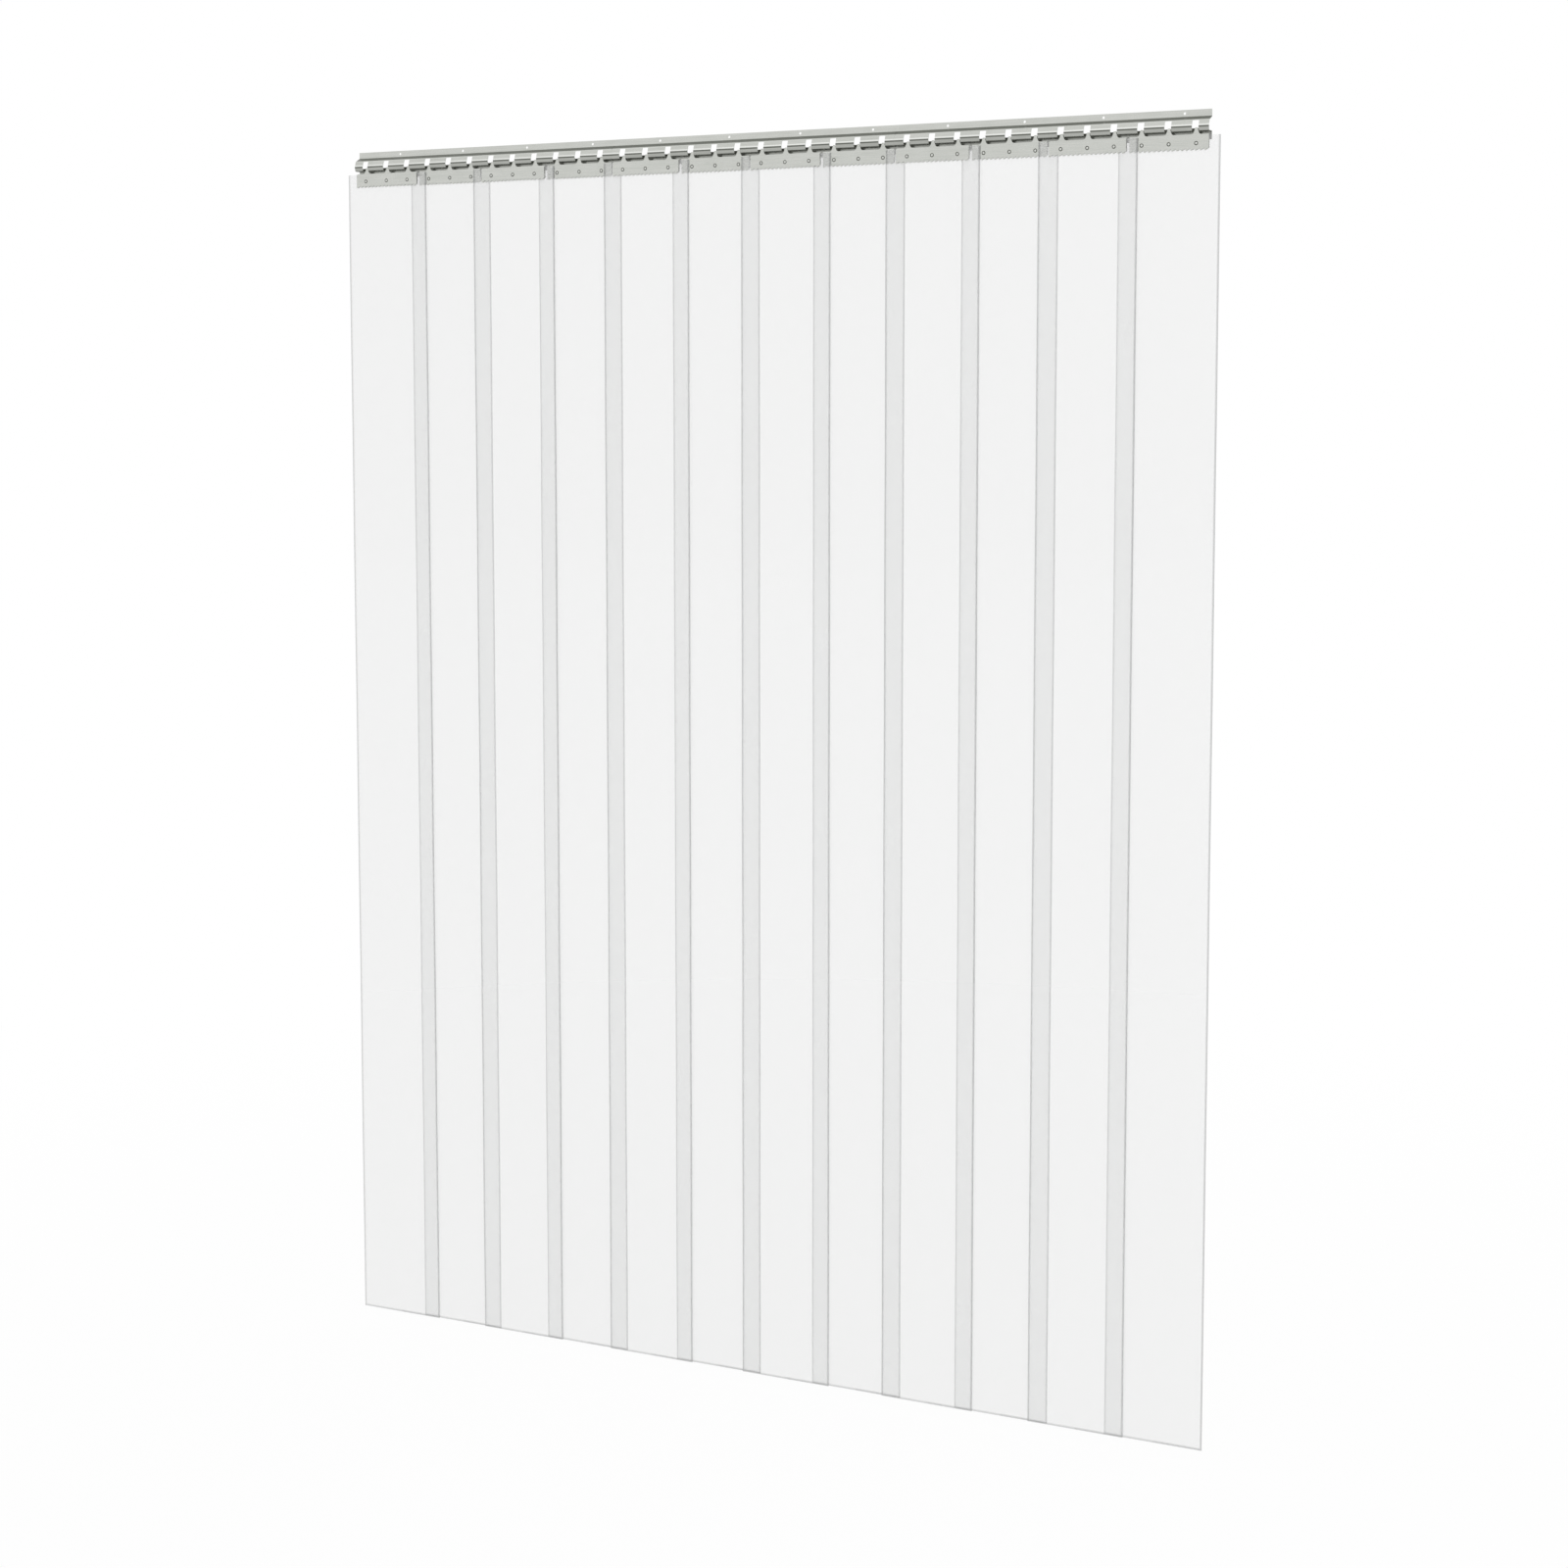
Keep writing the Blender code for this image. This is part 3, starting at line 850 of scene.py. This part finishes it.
def strip_mesh(strip, middle_y, phase):
    """A strip with rounded edges that strays a little from flat, with its flat layout as UVs."""
    half = strip.width / 2
    ring = strip_ring(strip)
    rows = round(strip.length / strip.row)
    bm = bmesh.new()
    layer = bm.loops.layers.uv.new(FLAT_LAYOUT)
    rings = []
    for row in range(rows + 1):
        down = strip.length * row / rows
        # The plates hold the top flat.
        freedom = min(1.0, down / strip.ripple_drop)
        drift = strip.ripple * freedom * math.sin(2 * math.pi * down / strip.ripple_length + phase)
        bow = strip.ripple * freedom * math.cos(phase * BOW_TURN_SHARE + down)
        verts = []
        for x, y in ring:
            away = drift + bow * (2 * (x / half) ** 2 - 1) * BOW_SHARE
            verts.append((bm.verts.new((x, middle_y + y + away, STRIP_HIGH[2] - down)), (x, down)))
        rings.append(verts)

    def face_of(corners):
        made = bm.faces.new([vert for vert, _ in corners])
        for loop, (_, flat) in zip(made.loops, corners):
            loop[layer].uv = flat

    for upper, lower in zip(rings, rings[1:]):
        for k in range(len(ring)):
            face_of((upper[k - 1], upper[k], lower[k], lower[k - 1]))
    face_of(list(reversed(rings[0])))
    face_of(rings[-1])
    bmesh.ops.recalc_face_normals(bm, faces=bm.faces[:])
    mesh = mesh_of("strip", bm)
    mesh.shade_smooth()
    mesh.set_sharp_from_angle(angle=BREAK_ANGLE)
    return mesh


class CURTAIN_OT_rail(bpy.types.Operator):
    """Builds the rail's sections over their solids"""

    bl_idname = "curtain.rail"
    bl_label = "Rail sections"

    def execute(self, context):
        scene = context.scene
        finish = scene.curtain_finish
        rail = scene.curtain_rail
        painted_bands = rail_painted_bands(rail, finish)
        steel = steel_material("rail_steel_fine", finish.steel, finish.steel_streak, painted_bands)
        inside = steel_material("rail_inside_fine", finish.steel_inside_shade, finish.steel_streak)
        tab = steel_material("rail_tab_fine", finish.steel_tab_shade, finish.steel_painted_shade)
        mesh = rail_mesh(rail, scene.curtain_plate)
        for node in SECTIONS:
            low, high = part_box(node)
            piece = new_piece(node.replace("section", "sheet"), mesh.copy(), steel, inside, tab)
            piece.data.transform(Matrix.Translation(((low[0] + high[0]) / 2, 0.0, 0.0)))
            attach(piece, "rail")
            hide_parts(node)
        bpy.data.meshes.remove(mesh)
        return {"FINISHED"}


class CURTAIN_OT_plates(bpy.types.Operator):
    """Builds the claw plates and cover plates with their rivets"""

    bl_idname = "curtain.plates"
    bl_label = "Clamp plates"

    def execute(self, context):
        scene = context.scene
        plate, finish = scene.curtain_plate, scene.curtain_finish
        steel = steel_material("plate_steel_fine", finish.steel, finish.steel_streak)
        bright = steel_material("rivet_steel_fine", finish.rivet, finish.steel)
        rim = steel_material("rivet_rim_fine", finish.rivet_rim_shade, finish.steel_tab_shade)
        low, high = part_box("cover_plate_01")
        length = high[0] - low[0]
        half_sheet = plate.sheet / 2
        claw_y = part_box("claw_plate_01")[0][1] + half_sheet
        claw = plate_mesh("claw", plate, length, claw_y, AXIS_Z - plate.drop, True)
        cover = plate_mesh("cover", plate, length, 0.0, high[2], False)
        rivets = centred(plate.claws, (length + plate.gap) / plate.claws)
        rivet_z = AXIS_Z - plate.drop - plate.rivet_drop
        for number in HANGERS:
            middle = hanger_x(number)
            body = f"hanger_{number}"
            cover_low, cover_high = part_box(f"cover_plate_{number}")
            cover_y = (cover_low[1] + cover_high[1]) / 2
            for name, source, depth in (("claw_plate", claw, 0.0), ("cover_plate", cover, cover_y)):
                piece = new_piece(f"{name}_fine_{number}", source.copy(), steel)
                piece.data.transform(Matrix.Translation((middle, depth, 0.0)))
                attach(piece, body)
                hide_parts(f"{name}_{number}")
            front = min(claw_y - half_sheet, cover_low[1])
            back = max(claw_y + half_sheet, cover_high[1])
            for place, x in enumerate(rivets, 1):
                mesh = rivet_mesh(plate, front, back)
                rivet = new_piece(f"rivet_{number}_{place}", mesh, bright, rim)
                mesh.transform(Matrix.Translation((middle + x, 0.0, rivet_z)))
                mesh.shade_smooth()
                mesh.set_sharp_from_angle(angle=SHARP_ANGLE)
                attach(rivet, body)
        bpy.data.meshes.remove(claw)
        bpy.data.meshes.remove(cover)
        return {"FINISHED"}


class CURTAIN_OT_strips(bpy.types.Operator):
    """Builds the clear PVC strips"""

    bl_idname = "curtain.strips"
    bl_label = "PVC strips"

    def execute(self, context):
        scene = context.scene
        strip = scene.curtain_strip
        pvc = pvc_material(scene.curtain_finish, strip)
        for number in HANGERS:
            low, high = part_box(f"strip_{number}")
            mesh = strip_mesh(strip, (low[1] + high[1]) / 2, RIPPLE_TURN * int(number))
            piece = new_piece(f"pvc_strip_{number}", mesh, pvc)
            piece.data.transform(Matrix.Translation((hanger_x(number), 0.0, 0.0)))
            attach(piece, f"hanger_{number}")
            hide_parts(f"strip_{number}")
        return {"FINISHED"}


def add_lamps():
    """The studio's square lamps, turned to the curtain's middle."""
    middle = (Vector(CAD_BOX[0]) + Vector(CAD_BOX[1])) / 2
    for name, place, side, power in LAMPS:
        data = bpy.data.lights.new(name, "AREA")
        data.shape = "SQUARE"
        data.size = side
        data.energy = power
        lamp = linked(name, data)
        lamp.location = place
        lamp.rotation_euler = (middle - lamp.location).to_track_quat("-Z", "Y").to_euler()


def set_world(scene, ambient):
    """White to the camera, a sky that pales upwards in metal, and plain light on the rest."""
    world = bpy.data.worlds.new("studio_white")
    scene.world = world
    world.use_nodes = True
    world.node_tree.nodes.clear()
    root = Link(world.node_tree)
    camera, seen = seen_directly(root, "Is Transmission Ray")
    mirrored = camera.other("Is Glossy Ray")
    way = root.node("ShaderNodeTexCoord", output="Generated")
    height = way.node("ShaderNodeSeparateXYZ", inputs={"Vector": way}, output="Z")
    sky = 0.86 + height.smooth(0.10, 0.75) * 0.14
    strength = ambient + (sky - ambient) * mirrored
    strength = strength + (1.0 - strength) * seen
    light = root.node("ShaderNodeBackground", inputs={"Color": WHITE, "Strength": strength})
    root.node("ShaderNodeOutputWorld", inputs={"Surface": light})


def set_camera(scene, stage):
    """The camera at the photograph's viewing angle."""
    lens = bpy.data.cameras.new("photo_view")
    lens.sensor_width = 36.0
    lens.lens = stage.lens * 1000
    lens.shift_y = -stage.shift
    lens.clip_end = 200.0
    camera = linked("photo_view", lens)
    camera.location = (stage.camera_x, stage.camera_y, stage.camera_z)
    camera.rotation_euler = (math.pi / 2 - stage.camera_tilt, 0.0, stage.camera_turn)
    scene.camera = camera


class CURTAIN_OT_stage(bpy.types.Operator):
    """Sets the floor, the studio lights, the white surroundings and the camera"""

    bl_idname = "curtain.stage"
    bl_label = "Studio"

    def execute(self, context):
        scene = context.scene
        stage = scene.curtain_stage
        half = stage.floor_size / 2
        level = CAD_BOX[0][2] - stage.floor_gap
        corners = ((-half, -half), (half, -half), (half, half), (-half, half))
        bm = bmesh.new()
        bm.faces.new([bm.verts.new((x, y, level)) for x, y in corners])
        finish = floor_material(scene.curtain_finish)
        floor = new_piece("studio_floor", mesh_of("studio_floor", bm), finish)
        add_lamps()
        set_world(scene, stage.ambient)
        set_camera(scene, stage)
        scene.view_settings.view_transform = "Standard"
        # Seen from the side, a ray passes through every strip.
        scene.cycles.transparent_max_bounces = 64
        return {"FINISHED"}


class CURTAIN_PT_panel(bpy.types.Panel):
    """Lists the curtain's pieces and settings"""

    bl_idname = "CURTAIN_PT_panel"
    bl_label = "Strip curtain"
    bl_space_type = "VIEW_3D"
    bl_region_type = "UI"
    bl_category = "Curtain"

    def draw(self, context):
        for step in STEPS:
            self.layout.operator(step.bl_idname)
        for name, group in GROUPS.items():
            box = self.layout.box()
            for field in group.__annotations__:
                box.prop(getattr(context.scene, name), field)


GROUPS = {
    "curtain_rail": RailSettings,
    "curtain_plate": PlateSettings,
    "curtain_strip": StripSettings,
    "curtain_finish": FinishSettings,
    "curtain_stage": StageSettings,
}
STEPS = (CURTAIN_OT_stage, CURTAIN_OT_rail, CURTAIN_OT_plates, CURTAIN_OT_strips)
CLASSES = (*GROUPS.values(), *STEPS, CURTAIN_PT_panel)


def register():
    for cls in CLASSES:
        bpy.utils.register_class(cls)
    for name, group in GROUPS.items():
        setattr(bpy.types.Scene, name, PointerProperty(type=group))


def unregister():
    for name in GROUPS:
        delattr(bpy.types.Scene, name)
    for cls in reversed(CLASSES):
        bpy.utils.unregister_class(cls)


def main():
    register()
    bpy.ops.curtain.stage()
    bpy.ops.curtain.rail()
    bpy.ops.curtain.plates()
    bpy.ops.curtain.strips()


if __name__ == "__main__":
    main()
